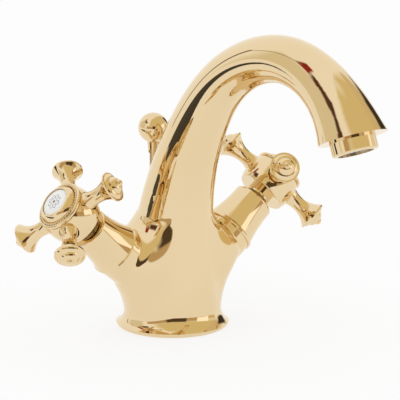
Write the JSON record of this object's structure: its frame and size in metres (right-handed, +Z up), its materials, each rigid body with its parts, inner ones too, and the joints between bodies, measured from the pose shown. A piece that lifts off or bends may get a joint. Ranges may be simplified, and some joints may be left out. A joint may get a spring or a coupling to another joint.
{
  "type": "basin mixer faucet",
  "caption": "Deck-mounted basin mixer with a swan-neck spout, cross handles on slanted ceramic valves and a pop-up lift rod, in polished gold.",
  "frame": {"origin": "middle of the foot's underside, on the deck", "axes": "+Z up, -Y from the column to the outlet, -X to the hot valve, +X to the cold valve"},
  "size_m": [0.1597, 0.1785, 0.1541],
  "materials": {
    "gold_plate": "polished gold plate",
    "brass": "machined",
    "steel": "plain",
    "porcelain": "glazed",
    "alumina": "lapped",
    "rubber": "matt",
    "fibre": "matt",
    "white_plastic": "moulded"
  },
  "bodies": {
    "body": {"mixer_body": "gold_plate", "base_seal": "rubber", "aerator_washer": "rubber", "aerator_housing": "gold_plate", "aerator_insert": "white_plastic", "aerator_screen": "steel", "rod_guide": "gold_plate", "rod_seal": "rubber", "hot_valve_washer": "fibre", "hot_valve_housing": "brass", "hot_seat_seal": "rubber", "hot_fixed_disc": "alumina", "hot_bonnet": "gold_plate", "cold_valve_washer": "fibre", "cold_valve_housing": "brass", "cold_seat_seal": "rubber", "cold_fixed_disc": "alumina", "cold_bonnet": "gold_plate"},
    "lift_rod": {"lift_rod": "gold_plate", "lift_knob": "gold_plate"},
    "hot_handle": {"hot_moving_disc": "alumina", "hot_spindle": "brass", "hot_spindle_seals": "rubber", "hot_spindle_clip": "steel", "hot_handle_hub": "gold_plate", "hot_arm_1": "gold_plate", "hot_arm_2": "gold_plate", "hot_arm_3": "gold_plate", "hot_arm_4": "gold_plate", "hot_handle_screw": "steel", "hot_index_bezel": "gold_plate", "hot_rope_ring": "gold_plate", "hot_index_disc": "porcelain"},
    "cold_handle": {"cold_moving_disc": "alumina", "cold_spindle": "brass", "cold_spindle_seals": "rubber", "cold_spindle_clip": "steel", "cold_handle_hub": "gold_plate", "cold_arm_1": "gold_plate", "cold_arm_2": "gold_plate", "cold_arm_3": "gold_plate", "cold_arm_4": "gold_plate", "cold_handle_screw": "steel", "cold_index_bezel": "gold_plate", "cold_rope_ring": "gold_plate", "cold_index_disc": "porcelain"}
  },
  "joints": [
    {"name": "hot_valve_turn", "type": "hinge", "parent": "body", "child": "hot_handle", "pos_m": [-0.06011, 0, 0.06381], "axis": [-0.7771, 0, 0.6293], "range_deg": [0, 90]},
    {"name": "cold_valve_turn", "type": "hinge", "parent": "body", "child": "cold_handle", "pos_m": [0.06011, 0, 0.06381], "axis": [0.7771, 0, 0.6293], "range_deg": [-90, 0]},
    {"name": "lift_rod_slide", "type": "slide", "parent": "body", "child": "lift_rod", "axis": [0, 0, 1], "range_m": [-0.012, 0]}
  ]
}
